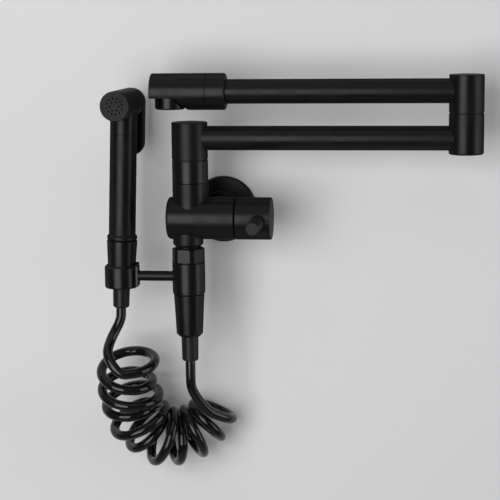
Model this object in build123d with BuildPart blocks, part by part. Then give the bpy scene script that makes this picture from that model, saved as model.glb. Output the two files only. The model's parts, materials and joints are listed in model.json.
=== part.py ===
from build123d import *
import os
from math import cos, pi, radians, sin, sqrt

os.makedirs("parts", exist_ok=True)

# Wall-mounted folding faucet with a hand sprayer on a coiled hose. All sizes are in millimetres.
# The wall is the plane Y = 0, the faucet stands out along -Y, X runs to the right and Z is up.

# Clearances
running = 0.05          # radial play where one piece turns or slides in another
slip = 0.2              # play where pieces are pushed or screwed together
touch = 0.02            # space between two lapped faces

# Wall flange and inlet
flange_diameter = 56.5
flange_thickness = 5.0
flange_bevel = 1.0
hub_height = 18.0
hub_wall = 3.0
gasket_diameter = 50.0
gasket_thickness = 1.5
gasket_bore = 25.0
inlet_thread = 20.955   # G 1/2
inlet_bore = 14.0
inlet_wall_length = 14.0
inlet_grip = 12.0
inlet_relief = 2.2      # undercut between the threads for the wall and for the body
inlet_relief_depth = 0.8
inlet_boss_diameter = 27.0
inlet_boss_stand = 9.3  # from the wall to the end of the boss
filter_depth = 3.0
filter_hole = 1.3
filter_rim = 1.5
filter_sheet = 1.0

# Valve body
wall_to_body = 58.0
body_diameter = 35.0
body_left = 38.0
body_right = 17.7
body_edge = 2.5
port_offset = 6.0
port_diameter = 6.4
way_diameter = 12.0
way_margin = 2.5

# Cartridge, measured along the body axis
cartridge_diameter = 25.0
cartridge_depth = 27.0
base_seal_thickness = 1.5
disc_thickness = 4.0
disc_diameter = 21.0
housing_wall = 1.6
housing_length = 18.0
carrier_thickness = 3.5
shoulder_diameter = 13.0
stem_diameter = 10.0
stem_tail_diameter = 7.9
nut_hex = 17.0
nut_hex_height = 4.3
stem_ring_section = 1.6

# Knob and lever pin
knob_diameter = 35.0
knob_seam = 1.3
knob_length = 28.9
knob_edge = 0.4
knob_skirt = 11.0
knob_wall = 3.5
pin_diameter = 10.8
pin_length = 33.0
pin_turn = 1.5          # below level
pin_edge = 0.5
pin_from_end = 10.1
pin_recess = 1.0
pin_tenon = 6.0
stem_tail_past_pin = 3.7

# Column and folding arm
column_x = -19.3
column_diameter = 29.7
boss_top = 29.5
boss_seam = 0.3
riser_top = 48.2
riser_tail = 10.0
riser_tail_diameter = 20.0
swivel_washer = 0.6
swivel_washer_inset = 0.9
tube_diameter = 20.0
tube_wall = 1.5
tube_rise = 17.45       # from the underside of a turning socket to the tube axis
socket_height = 30.5
socket_edge = 0.4
chamber_diameter = 15.4
chamber_roof = 5.0
arm_reach = 225.0
arm_spacing = 38.0
knuckle_diameter = 28.2
knuckle_drop = 12.9     # from the lower tube axis to the underside of the knuckle
knuckle_edge = 1.5

# Swivel spigots
spigot_diameter = 15.0
spigot_bore = 8.6
spigot_run = 9.0
spigot_grip = 9.0
spigot_wall = 1.2       # metal between a spigot bore and the end of a tube socket
ring_section = 1.8
ring_low = 2.2
ring_high = 7.3
lock_height = 4.75
lock_groove_width = 2.4
lock_groove_depth = 1.4
lock_screw_diameter = 4.0
lock_tip_diameter = 1.8
lock_key = 2.0

# Spout
spout_diameter = 30.0
spout_left = -50.2
spout_seam = -4.5
spout_right = 11.2
spout_edge = 1.0
spout_seam_edge = 0.15
spout_grip = 5.2
spout_flat = 4.8        # below the tube axis
spout_way_diameter = 10.0
spout_way_rise = 2.0
aerator_x = -34.9
aerator_pocket = 31.4
aerator_diameter = 25.0
aerator_drop = 9.5
aerator_edge = 1.2
aerator_thread = 22.0
aerator_thread_length = 3.1
aerator_gasket_thickness = 1.8
aerator_chamber = 16.0
aerator_wall = 2.0
screen_thickness = 4.0
screen_inset = 0.8
screen_hole = 2.4

# Outlet, lock nut and tee under the body
outlet_x = -21.9
outlet_diameter = 25.2
outlet_bottom = -23.6
outlet_edge = 2.3
outlet_pipe_diameter = 19.0
outlet_pipe_bore = 12.0
outlet_pipe_top = -14.5
outlet_pipe_bottom = -47.0
lock_nut_diameter = 27.4
lock_nut_top = -24.4
lock_nut_edge = 1.2
lock_nut_slope = 2.8
lock_nut_flat = 12.7    # from the axis to each flat
lock_nut_flat_turn = 9.0
lock_nut_flats = 6
lock_nut_ledge = 1.0
tee_top = -36.9
tee_diameter = 27.3
tee_bottom = -63.4
tee_rim = 0.5
tee_groove = 0.9
tee_bead = 2.6
tee_bore = 13.2
check_valve_length = 11.0
check_valve_lip = 1.4

# Hose ends, measured down from the top of the cone nut
hose_nut_top_diameter = 25.4
hose_nut_low_diameter = 22.0
hose_nut_length = 35.6
hose_nut_taper = 33.2
hose_nut_tip_diameter = 17.6
hose_nut_hole = 14.7
hose_nut_chamber = 18.4
hose_nut_floor = 28.0
hose_thread = 20.6
hose_thread_length = 9.5
washer_thickness = 1.9
barb_flange = 2.0
barb_diameter = 17.6
barb_length = 12.4
barb_bore = 5.0
sleeve_diameter = 14.4
sleeve_low_diameter = 13.6
sleeve_length = 21.1    # below the nut
sleeve_edge = 1.0
hose_diameter = 8.4
valve_nut_top = -64.0

# Sprayer holder
rod_diameter = 8.4
rod_z = -49.0
rod_grip = 4.0
cup_diameter = 27.8
cup_bore = 24.6
cup_top = -39.8
cup_bottom = -58.9
cup_edge = 1.4
cup_rim_taper = 1.5
cup_rim_land = 0.2
cup_hole = 16.8
cup_slot = 9.6
cup_lug_width = 9.6
cup_lug_height = 2.4      # above the rim
cup_lug_reach = 14.7     # from the cup's axis
cup_lug_gap = 0.6
nut_seat_gap = 0.5

# Sprayer, measured along its own axis from the top of its cone nut
sprayer_x = -77.8
sprayer_z = -19.2
sprayer_lean = 2.2
sprayer_turn = 3.0
bead_diameter = 25.0
bead_top = 5.3
bead_edge = 1.5
handle_diameter = 22.3
handle_top = 89.2
handle_edge = 0.4
handle_bore = 12.4
handle_spigot = 8.0
handle_spigot_diameter = 16.0
barrel_height = 113.6
barrel_diameter = 24.4
barrel_front = 31.0
barrel_back = 21.0
barrel_edge = 0.9
barrel_front_bore = 18.4
barrel_seat_front = 8.0
barrel_seat_thickness = 4.0
barrel_seat_hole = 7.0
barrel_rear_bore = 15.0
gland_thickness = 7.0
face_diameter = 21.8
face_thickness = 3.0
face_inset = 0.5
face_outer_ring = 6.6
face_inner_ring = 3.7
face_hole = 1.4
face_outer_turn = 17.5
face_inner_turn = 56.0

# Trigger and its valve
trigger_width = 23.4
trigger_length = 56.6
trigger_thickness = 6.0
trigger_gap = 0.8
trigger_edge = 0.8
pivot_drop = 9.5
pivot_depth = 2.0       # behind the front face of the trigger
pivot_diameter = 2.6
lug_radius = 1.9
lug_width = 7.0
lug_space = 0.5
lug_root = 4.0          # let into the barrel
plunger_diameter = 4.0
plunger_hole = 5.8
button_diameter = 6.5
button_thickness = 1.6
button_pocket = 10.4
button_floor = 2.8      # behind the front face of the trigger
disc_valve_diameter = 11.0
disc_valve_thickness = 2.0
disc_seal_thickness = 1.2
spring_wire = 0.9
spring_diameter = 8.4
spring_turns = 5

# Coiled hose: an axis bent like a U, with the turns wound on it
coil_turns = 10
coil_guides = (         # the U of the coil's axis is a Bezier curve on these points
    (-77.5, -62.7, -114.0),
    (-68.7, -44.7, -155.9),
    (-100.6, -41.7, -163.1),
    (-51.3, -42.0, -231.9),
    (-18.8, -24.5, -194.8),
    (-7.8, -24.0, -171.8),
)
coil_first_radius = 23.2
coil_last_radius = 18.2
coil_alternate = 4.8    # how far the inner side of every other turn lies further in
coil_lag = 2.0          # how far each turn leans from square to the axis
coil_join = 108.0       # where on the first turn the hose from the sprayer runs in
coil_leave = 60.0       # how far past the last full turn the hose to the valve runs out
hose_bow = (-88.8, -71.9, -107.6)   # the hose from the sprayer swings out through here
hose_bow_way = (-0.05, -0.81, -0.58)
hose_straight = 1.0     # at each end of the coil
sprayer_lead_free = 1.3
valve_lead_free = 11.3

# Places worked out from the sizes
body_y = -wall_to_body
tube_radius = tube_diameter / 2
tube_bore_radius = tube_radius - tube_wall
spigot_radius = spigot_diameter / 2
socket_stop = spigot_radius + spigot_wall
elbow_bottom = riser_top + swivel_washer
lower_arm_z = elbow_bottom + tube_rise
upper_arm_z = lower_arm_z + arm_spacing
knuckle_x = column_x + arm_reach
upper_knuckle_bottom = upper_arm_z - tube_rise
lower_knuckle_top = upper_knuckle_bottom - swivel_washer
lower_knuckle_bottom = lower_arm_z - knuckle_drop
knob_left = body_right + knob_seam
knob_right = knob_left + knob_length
pin_x = knob_right - pin_from_end
cartridge_base = body_right - cartridge_depth
fixed_disc_x = cartridge_base + base_seal_thickness
moving_disc_x = fixed_disc_x + disc_thickness + touch
carrier_x = moving_disc_x + disc_thickness
shoulder_x = carrier_x + carrier_thickness
nut_x = fixed_disc_x + housing_length
spout_tube_end = spout_seam - spout_grip
hose_start = hose_thread_length + washer_thickness + slip + barb_flange + barb_length
hose_exit = hose_nut_length + sleeve_length
cup_height = cup_top - cup_bottom


def across(x, z):
    """Plane on an axis that runs to the right through the body's depth."""
    return Plane((x, body_y, z), x_dir=(0, 0, 1), z_dir=(1, 0, 0))


def upright(x, z):
    """Plane on a vertical axis at the body's depth."""
    return Plane((x, body_y, z), x_dir=(1, 0, 0), z_dir=(0, 0, 1))


def along(plane, height):
    """The same plane moved along its own axis."""
    return Plane(plane.from_local_coords((0, 0, height)), x_dir=plane.x_dir, z_dir=plane.z_dir)


def half_section(plane):
    """Sketch plane holding an axis: its X is the radius and its Y runs along the axis."""
    return Plane(plane.origin, x_dir=plane.x_dir, z_dir=-plane.y_dir)


def turned(plane, corners):
    """Piece turned on a plane's own axis from the (radius, height) corners of its outline."""
    with BuildPart() as blank:
        with BuildSketch(half_section(plane)):
            with BuildLine():
                Polyline(*corners, close=True)
            make_face()
        revolve(axis=Axis(plane.origin, plane.z_dir))
    return blank


def ring(plane, inside, outside, low, high):
    """Plain ring between two radii and two heights."""
    return turned(plane, [(inside, low), (outside, low), (outside, high), (inside, high)])


def bore(plane, radius, depth):
    """Bore a round hole along a plane's axis in the piece being made."""
    with Locations(plane):
        Cylinder(radius, depth, align=(Align.CENTER, Align.CENTER, Align.MIN), mode=Mode.SUBTRACT)


def rod(plane, radius, length):
    """Add a round bar along a plane's axis to the piece being made."""
    with Locations(plane):
        Cylinder(radius, length, align=(Align.CENTER, Align.CENTER, Align.MIN))


def keep(builder, label):
    """Name a finished piece and write its file."""
    builder.part.label = label
    export_step(builder.part, f"parts/{label}.step")


# Wall flange, gasket, inlet nipple and filter
wall = Plane((0, 0, 0), x_dir=(1, 0, 0), z_dir=(0, -1, 0))
nipple_radius = inlet_thread / 2
boss_hole = inlet_boss_diameter / 2 + slip
flange_radius = flange_diameter / 2
gasket_radius = gasket_diameter / 2

wall_flange = turned(wall, [
    (nipple_radius + slip, gasket_thickness),
    (gasket_radius + slip, gasket_thickness),
    (gasket_radius + slip, 0),
    (flange_radius, 0),
    (flange_radius, flange_thickness - flange_bevel),
    (flange_radius - flange_bevel, flange_thickness),
    (boss_hole + hub_wall, flange_thickness),
    (boss_hole + hub_wall, hub_height),
    (boss_hole, hub_height),
    (boss_hole, inlet_boss_stand - slip),
    (nipple_radius + slip, inlet_boss_stand - slip),
])
keep(wall_flange, "wall_flange")

flange_gasket = ring(wall, gasket_bore / 2, gasket_radius, 0, gasket_thickness)
keep(flange_gasket, "flange_gasket")

filter_radius = inlet_bore / 2 + filter_rim
inlet_nipple = turned(wall, [
    (inlet_bore / 2, inlet_boss_stand + inlet_grip),
    (nipple_radius, inlet_boss_stand + inlet_grip),
    (nipple_radius, inlet_relief_depth + inlet_relief),
    (nipple_radius - inlet_relief_depth, inlet_relief_depth + inlet_relief),
    (nipple_radius - inlet_relief_depth, inlet_relief_depth),
    (nipple_radius, inlet_relief_depth),
    (nipple_radius, -inlet_wall_length),
    (filter_radius, -inlet_wall_length),
    (filter_radius, filter_depth - inlet_wall_length),
    (inlet_bore / 2, filter_depth - inlet_wall_length),
])
keep(inlet_nipple, "inlet_nipple")

with BuildPart() as inlet_filter:
    with BuildSketch(along(wall, -inlet_wall_length)):
        Circle(filter_radius)
    extrude(amount=filter_depth)
    with BuildSketch(along(wall, filter_sheet - inlet_wall_length)):
        Circle(filter_radius - filter_rim)
    extrude(amount=filter_depth, mode=Mode.SUBTRACT)
    with BuildSketch(along(wall, -inlet_wall_length)):
        Circle(filter_hole / 2)
        with PolarLocations(filter_radius * 0.36, 6):
            Circle(filter_hole / 2)
        with PolarLocations(filter_radius * 0.68, 12):
            Circle(filter_hole / 2)
    extrude(amount=filter_depth, mode=Mode.SUBTRACT)
keep(inlet_filter, "inlet_filter")

# Valve body
body_radius = body_diameter / 2
way_radius = way_diameter / 2
with BuildPart() as valve_body:
    with BuildSketch(across(-body_left, 0)):
        Circle(body_radius)
    extrude(amount=body_left + body_right)
    fillet(valve_body.edges().sort_by(Axis.X)[0], body_edge)
    rod(upright(column_x, 0), column_diameter / 2, boss_top)
    rod(Plane((outlet_x, body_y, 0), x_dir=(1, 0, 0), z_dir=(0, 0, -1)), outlet_diameter / 2, -outlet_bottom)
    chamfer(valve_body.edges().sort_by(Axis.Z)[0], outlet_edge)
    rod(Plane((0, body_y, 0), x_dir=(1, 0, 0), z_dir=(0, 1, 0)), inlet_boss_diameter / 2,
        wall_to_body - inlet_boss_stand)
    bore(across(cartridge_base, 0), cartridge_diameter / 2, cartridge_depth)
    for port_z, way_x in ((port_offset, column_x), (-port_offset, outlet_x)):
        bore(Plane((cartridge_base, body_y, port_z), z_dir=(-1, 0, 0)), port_diameter / 2,
             cartridge_base - way_x)
    bore(upright(column_x, way_margin), way_radius, boss_top)
    bore(upright(column_x, boss_top - riser_tail), riser_tail_diameter / 2, riser_tail)
    bore(upright(outlet_x, outlet_bottom), way_radius, -outlet_bottom - way_margin)
    bore(upright(outlet_x, outlet_bottom), outlet_pipe_diameter / 2, outlet_pipe_top - outlet_bottom)
    inlet_end = Plane((0, -inlet_boss_stand, 0), x_dir=(1, 0, 0), z_dir=(0, -1, 0))
    bore(inlet_end, nipple_radius, inlet_grip)
    bore(inlet_end, way_radius, wall_to_body - inlet_boss_stand)
keep(valve_body, "valve_body")

# Ceramic cartridge
cartridge_radius = cartridge_diameter / 2 - running
disc_radius = disc_diameter / 2
with BuildPart() as cartridge_seal:
    with BuildSketch(across(cartridge_base, 0)):
        Circle(cartridge_radius)
        with Locations((port_offset, 0), (-port_offset, 0)):
            Circle(port_diameter / 2, mode=Mode.SUBTRACT)
    extrude(amount=base_seal_thickness)
keep(cartridge_seal, "cartridge_seal")

with BuildPart() as fixed_ceramic_disc:
    with BuildSketch(across(fixed_disc_x, 0)):
        Circle(disc_radius)
        with Locations((port_offset, 0), (-port_offset, 0)):
            Circle(port_diameter / 2, mode=Mode.SUBTRACT)
    extrude(amount=disc_thickness)
keep(fixed_ceramic_disc, "fixed_ceramic_disc")

with BuildPart() as moving_ceramic_disc:
    with BuildSketch(across(moving_disc_x, 0)):
        Circle(disc_radius - slip)
        with Locations((0, port_offset)):
            Circle(port_diameter / 2, mode=Mode.SUBTRACT)
    extrude(amount=disc_thickness)
keep(moving_ceramic_disc, "moving_ceramic_disc")

with BuildPart() as cartridge_housing:
    with BuildSketch(across(fixed_disc_x, 0)):
        Circle(cartridge_radius)
        Circle(disc_radius, mode=Mode.SUBTRACT)
    extrude(amount=housing_length)
    with BuildSketch(across(moving_disc_x + disc_thickness, 0)):
        with PolarLocations(cartridge_radius, 4):
            Rectangle(housing_wall * 4, way_radius)
    extrude(amount=way_radius, mode=Mode.SUBTRACT)
keep(cartridge_housing, "cartridge_housing")

tail_radius = stem_tail_diameter / 2
stem_radius = stem_diameter / 2
tail_end = pin_x + stem_tail_past_pin
ring_groove = stem_radius + running - stem_ring_section - touch
ring_middle = (nut_x + body_right) / 2
stem_plane = across(0, 0)
knob_floor = knob_left + knob_skirt
with BuildPart() as cartridge_stem:
    with BuildSketch(half_section(stem_plane)):
        with BuildLine():
            Polyline(
                (0, carrier_x),
                (disc_radius - slip, carrier_x),
                (disc_radius - slip, shoulder_x),
                (shoulder_diameter / 2, shoulder_x),
                (shoulder_diameter / 2, nut_x - slip),
                (stem_radius, nut_x - slip),
                (stem_radius, ring_middle - stem_ring_section * 0.6),
                (ring_groove - touch, ring_middle - stem_ring_section * 0.6),
                (ring_groove - touch, ring_middle + stem_ring_section * 0.6),
                (stem_radius, ring_middle + stem_ring_section * 0.6),
                (stem_radius, body_right + nut_hex_height + 1),
                (tail_radius, body_right + nut_hex_height + 1),
                (tail_radius, tail_end),
                (0, tail_end),
                close=True,
            )
        make_face()
    revolve(axis=Axis(stem_plane.origin, stem_plane.z_dir))
    with BuildSketch(across(carrier_x, 0)):
        with Locations((0, port_offset)):
            Circle(port_diameter / 2)
    extrude(amount=carrier_thickness, mode=Mode.SUBTRACT)
keep(cartridge_stem, "cartridge_stem")

with BuildPart() as stem_o_ring:
    with BuildSketch(half_section(stem_plane)):
        with Locations((ring_groove + stem_ring_section / 2, ring_middle)):
            Circle(stem_ring_section / 2)
    revolve(axis=Axis(stem_plane.origin, stem_plane.z_dir))
keep(stem_o_ring, "stem_o_ring")

with BuildPart() as cartridge_nut:
    with BuildSketch(across(nut_x, 0)):
        Circle(cartridge_radius)
    extrude(amount=body_right - nut_x)
    with BuildSketch(across(body_right, 0)):
        RegularPolygon(nut_hex / 2, 6, major_radius=False)
    extrude(amount=nut_hex_height)
    bore(across(nut_x, 0), stem_radius + running, body_right - nut_x + nut_hex_height)
keep(cartridge_nut, "cartridge_nut")

# Knob and lever pin
knob_radius = knob_diameter / 2
pin_radius = pin_diameter / 2
tenon_radius = pin_tenon / 2
recess_radius = pin_radius + 0.8
pin_drop = radians(pin_turn)
pin_axis = Plane((pin_x, body_y, 0), x_dir=(1, 0, 0), z_dir=(0, -cos(pin_drop), -sin(pin_drop)))
with BuildPart() as knob:
    with BuildSketch(across(knob_left, 0)):
        Circle(knob_radius)
    extrude(amount=knob_length)
    chamfer(knob.edges(), knob_edge)
    bore(across(knob_left, 0), knob_radius - knob_wall, knob_skirt)
    bore(across(knob_floor, 0), tail_radius + touch, tail_end - knob_floor + slip)
    bore(pin_axis, tenon_radius + touch, knob_radius)
    bore(along(pin_axis, knob_radius - pin_recess - 0.5), recess_radius, knob_radius)
keep(knob, "knob")

pin_seat = knob_radius - pin_recess - 0.5
pin_tip = knob_radius + pin_length
knob_pin = turned(pin_axis, [
    (0, tail_radius + slip),
    (tenon_radius, tail_radius + slip),
    (tenon_radius, pin_seat),
    (pin_radius, pin_seat),
    (pin_radius, pin_tip - pin_edge),
    (pin_radius - pin_edge, pin_tip),
    (0, pin_tip),
])
keep(knob_pin, "knob_pin")


# Swivels: the spigot of one piece turns in the socket of the piece above it
def swivel(plane, name):
    """Spigot, seal rings and glide washer; the plane lies on top of the fixed piece."""
    upper = along(plane, swivel_washer)
    bore_radius = spigot_radius + running
    ring_outer = bore_radius - touch
    groove = ring_outer - ring_section - touch
    half = ring_section * 0.6
    lock_half = lock_groove_width / 2
    spigot = turned(upper, [
        (spigot_bore / 2, -swivel_washer - spigot_grip),
        (spigot_radius, -swivel_washer - spigot_grip),
        (spigot_radius, ring_low - half),
        (groove, ring_low - half),
        (groove, ring_low + half),
        (spigot_radius, ring_low + half),
        (spigot_radius, lock_height - lock_half),
        (spigot_radius - lock_groove_depth, lock_height - lock_half),
        (spigot_radius - lock_groove_depth, lock_height + lock_half),
        (spigot_radius, lock_height + lock_half),
        (spigot_radius, ring_high - half),
        (groove, ring_high - half),
        (groove, ring_high + half),
        (spigot_radius, ring_high + half),
        (spigot_radius, spigot_run),
        (spigot_bore / 2, spigot_run),
    ])
    keep(spigot, f"{name}_spigot")
    with BuildPart() as rings:
        with BuildSketch(half_section(upper)):
            with Locations(*[(ring_outer - ring_section / 2, z) for z in (ring_low, ring_high)]):
                Circle(ring_section / 2)
        revolve(axis=Axis(upper.origin, upper.z_dir))
    keep(rings, f"{name}_o_rings")


def lock_screw(plane, outside, name):
    """Grub screw whose tip runs in the spigot's groove; the plane is the underside of the socket."""
    axis = Plane(plane.from_local_coords((0, 0, lock_height)), x_dir=(1, 0, 0), z_dir=(0, 1, 0))
    inner = spigot_radius + 0.6
    tip = spigot_radius - lock_groove_depth + slip
    end = outside - 0.6
    screw = turned(axis, [
        (0, tip),
        (lock_tip_diameter / 2, tip),
        (lock_tip_diameter / 2, inner),
        (lock_screw_diameter / 2, inner),
        (lock_screw_diameter / 2, end),
        (lock_key / 2, end),
        (lock_key / 2, end - lock_key),
        (0, end - lock_key),
    ])
    keep(screw, name)


def socket(plane, diameter, name):
    """Turning socket on a spigot with an arm tube leaving along its X axis."""
    radius = diameter / 2
    tube_level = Plane(plane.from_local_coords((0, 0, tube_rise)), x_dir=(0, 1, 0), z_dir=plane.x_dir)
    screw_level = Plane(plane.from_local_coords((0, 0, lock_height)), x_dir=(1, 0, 0), z_dir=(0, 1, 0))
    with BuildPart() as piece:
        with BuildSketch(plane):
            Circle(radius)
        extrude(amount=socket_height)
        chamfer(piece.edges(), socket_edge)
        bore(plane, spigot_radius + running, spigot_run + slip)
        bore(plane, chamber_diameter / 2, socket_height - chamber_roof)
        bore(along(tube_level, socket_stop), tube_radius, radius)
        bore(tube_level, tube_bore_radius, radius)
        bore(screw_level, lock_screw_diameter / 2, radius)
    keep(piece, name)


# Riser collar and the column's swivel
with BuildPart() as riser_collar:
    with BuildSketch(upright(column_x, boss_top + boss_seam)):
        Circle(column_diameter / 2)
    extrude(amount=riser_top - boss_top - boss_seam)
    chamfer(riser_collar.edges(), socket_edge)
    rod(upright(column_x, boss_top - riser_tail + slip), riser_tail_diameter / 2, riser_tail + boss_seam)
    bore(upright(column_x, boss_top - riser_tail), spigot_bore / 2, riser_top)
    bore(upright(column_x, riser_top - spigot_grip), spigot_radius, spigot_grip)
keep(riser_collar, "riser_collar")

column_seam = upright(column_x, riser_top)
swivel(column_seam, "column")
column_glide_washer = ring(column_seam, spigot_radius + slip, column_diameter / 2 - swivel_washer_inset,
                           touch, swivel_washer - touch)
keep(column_glide_washer, "column_glide_washer")

elbow_plane = upright(column_x, elbow_bottom)
socket(elbow_plane, column_diameter, "lower_elbow")
lock_screw(elbow_plane, column_diameter / 2, "elbow_lock_screw")

# Lower arm
lower_arm_tube = ring(across(0, lower_arm_z), tube_bore_radius, tube_radius,
                      column_x + socket_stop, knuckle_x - socket_stop)
keep(lower_arm_tube, "lower_arm_tube")

with BuildPart() as lower_knuckle:
    with BuildSketch(upright(knuckle_x, lower_knuckle_bottom)):
        Circle(knuckle_diameter / 2)
    extrude(amount=lower_knuckle_top - lower_knuckle_bottom)
    fillet(lower_knuckle.edges().sort_by(Axis.Z)[0], knuckle_edge)
    chamfer(lower_knuckle.edges().sort_by(Axis.Z)[-1], socket_edge)
    bore(upright(knuckle_x, lower_knuckle_top - spigot_grip), spigot_radius, spigot_grip)
    bore(upright(knuckle_x, lower_arm_z), spigot_bore / 2, lower_knuckle_top - lower_arm_z)
    inward = Plane((knuckle_x, body_y, lower_arm_z), x_dir=(0, 1, 0), z_dir=(-1, 0, 0))
    bore(inward, tube_bore_radius, knuckle_diameter)
    bore(along(inward, socket_stop), tube_radius, knuckle_diameter)
keep(lower_knuckle, "lower_knuckle")

knuckle_seam = upright(knuckle_x, lower_knuckle_top)
swivel(knuckle_seam, "knuckle")
knuckle_glide_washer = ring(knuckle_seam, spigot_radius + slip,
                            knuckle_diameter / 2 - swivel_washer_inset, touch, swivel_washer - touch)
keep(knuckle_glide_washer, "knuckle_glide_washer")

# Upper arm
upper_plane = Plane((knuckle_x, body_y, upper_knuckle_bottom), x_dir=(-1, 0, 0), z_dir=(0, 0, 1))
socket(upper_plane, knuckle_diameter, "upper_knuckle")
lock_screw(upper_plane, knuckle_diameter / 2, "knuckle_lock_screw")

upper_arm_tube = ring(across(0, upper_arm_z), tube_bore_radius, tube_radius,
                      spout_tube_end, knuckle_x - socket_stop)
keep(upper_arm_tube, "upper_arm_tube")

spout_axis = across(0, upper_arm_z)
spout_radius = spout_diameter / 2
with BuildPart() as spout_collar:
    with BuildSketch(along(spout_axis, spout_seam + boss_seam)):
        Circle(spout_radius)
    extrude(amount=spout_right - spout_seam - boss_seam)
    chamfer(spout_collar.edges().sort_by(Axis.X)[-1], spout_edge)
    chamfer(spout_collar.edges().group_by(Axis.X)[0], spout_seam_edge)
    bore(along(spout_axis, spout_seam), tube_radius, spout_right - spout_seam)
keep(spout_collar, "spout_collar")

aerator_axis = Plane((aerator_x, body_y, upper_arm_z - spout_flat), x_dir=(1, 0, 0), z_dir=(0, 0, -1))
pocket_radius = aerator_pocket / 2
thread_depth = aerator_thread_length + aerator_gasket_thickness
with BuildPart() as spout_head:
    with BuildSketch(along(spout_axis, spout_left)):
        Circle(spout_radius)
    extrude(amount=spout_seam - spout_left)
    fillet(spout_head.edges().sort_by(Axis.X)[0], spout_edge)
    chamfer(spout_head.edges().group_by(Axis.X)[-1], spout_seam_edge)
    with BuildSketch(aerator_axis):
        Circle(pocket_radius)
        with Locations((spout_left - aerator_x, 0)):
            Rectangle(2 * (aerator_x - spout_left), 2 * spout_radius)
    extrude(amount=spout_radius, mode=Mode.SUBTRACT)
    bore(along(aerator_axis, -thread_depth), aerator_thread / 2, thread_depth)
    way_top = upper_arm_z + spout_way_rise + spout_way_diameter / 2
    bore(Plane((aerator_x, body_y, upper_arm_z - spout_flat), x_dir=(1, 0, 0), z_dir=(0, 0, 1)),
         aerator_chamber / 2, way_top - upper_arm_z + spout_flat)
    bore(across(aerator_x, upper_arm_z + spout_way_rise), spout_way_diameter / 2, spout_tube_end - aerator_x)
    bore(along(spout_axis, spout_tube_end), tube_radius, spout_grip)
keep(spout_head, "spout_head")

aerator_radius = aerator_diameter / 2
screen_radius = aerator_radius - aerator_wall
aerator_housing = turned(aerator_axis, [
    (aerator_chamber / 2, -aerator_thread_length),
    (aerator_thread / 2, -aerator_thread_length),
    (aerator_thread / 2, touch),
    (aerator_radius, touch),
    (aerator_radius, aerator_drop - aerator_edge),
    (aerator_radius - aerator_edge, aerator_drop),
    (screen_radius, aerator_drop),
    (screen_radius, aerator_drop - screen_inset - screen_thickness),
    (aerator_chamber / 2, aerator_drop - screen_inset - screen_thickness),
])
keep(aerator_housing, "aerator_housing")

aerator_gasket = ring(aerator_axis, aerator_chamber / 2, aerator_thread / 2 - slip,
                      -thread_depth, -aerator_thread_length)
keep(aerator_gasket, "aerator_gasket")

with BuildPart() as aerator_screen:
    with BuildSketch(along(aerator_axis, aerator_drop - screen_inset - screen_thickness)):
        Circle(screen_radius)
        with Locations((0, 0)):
            RegularPolygon(screen_hole / 2, 6, mode=Mode.SUBTRACT)
        with PolarLocations(screen_radius * 0.38, 6):
            RegularPolygon(screen_hole / 2, 6, mode=Mode.SUBTRACT)
        with PolarLocations(screen_radius * 0.74, 12):
            RegularPolygon(screen_hole / 2, 6, mode=Mode.SUBTRACT)
    extrude(amount=screen_thickness)
keep(aerator_screen, "aerator_screen")

# Outlet pipe, lock nut and tee under the body
outlet = upright(outlet_x, 0)
outlet_pipe = ring(outlet, outlet_pipe_bore / 2, outlet_pipe_diameter / 2, outlet_pipe_bottom, outlet_pipe_top)
keep(outlet_pipe, "outlet_pipe")

lock_nut_radius = lock_nut_diameter / 2
flat_turn = radians(lock_nut_flat_turn)
with BuildPart() as holder_nut:
    with BuildSketch(half_section(outlet)):
        with BuildLine():
            Polyline(
                (outlet_pipe_diameter / 2, tee_top + touch),
                (lock_nut_radius - tee_rim, tee_top + touch),
                (lock_nut_radius, tee_top + tee_rim),
                (lock_nut_radius, lock_nut_top - lock_nut_edge),
                (lock_nut_radius - lock_nut_slope, lock_nut_top),
                (outlet_pipe_diameter / 2, lock_nut_top),
                close=True,
            )
        make_face()
    revolve(axis=Axis(outlet.origin, outlet.z_dir))
    for flat in range(lock_nut_flats):
        flat_angle = flat_turn + 2 * pi * flat / lock_nut_flats
        flat_way = Vector(-sin(flat_angle), -cos(flat_angle), 0)
        flat_centre = Vector(outlet_x, body_y, tee_top + lock_nut_ledge) + flat_way * lock_nut_flat
        with BuildSketch(Plane(flat_centre, x_dir=(0, 0, 1), z_dir=flat_way)):
            Rectangle(lock_nut_top - tee_top, lock_nut_diameter, align=(Align.MIN, Align.CENTER))
        extrude(amount=lock_nut_radius, mode=Mode.SUBTRACT)
keep(holder_nut, "holder_nut")

tee_radius = tee_diameter / 2
bead_start = tee_bottom + tee_bead
thread_end = valve_nut_top - hose_thread_length
with BuildPart() as holder_tee:
    with BuildSketch(half_section(outlet)):
        with BuildLine():
            Polyline(
                (tee_bore / 2, thread_end),
                (hose_thread / 2, thread_end),
                (hose_thread / 2, tee_bottom),
                (hose_nut_top_diameter / 2, tee_bottom),
                (tee_radius - 0.2, tee_bottom + 0.8),
                (tee_radius - 0.2, bead_start - tee_groove),
                (tee_radius - tee_groove, bead_start - tee_groove),
                (tee_radius - tee_groove, bead_start),
                (tee_radius, bead_start),
                (tee_radius, tee_top - tee_rim),
                (tee_radius - tee_rim, tee_top),
                (outlet_pipe_diameter / 2, tee_top),
                (outlet_pipe_diameter / 2, outlet_pipe_bottom - slip),
                (tee_bore / 2, outlet_pipe_bottom - slip),
                close=True,
            )
        make_face()
    revolve(axis=Axis(outlet.origin, outlet.z_dir))
    rod_socket = Plane((outlet_x - tee_radius + rod_grip, body_y, rod_z), x_dir=(0, 0, 1), z_dir=(-1, 0, 0))
    bore(rod_socket, rod_diameter / 2, tee_radius)
keep(holder_tee, "holder_tee")

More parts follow.
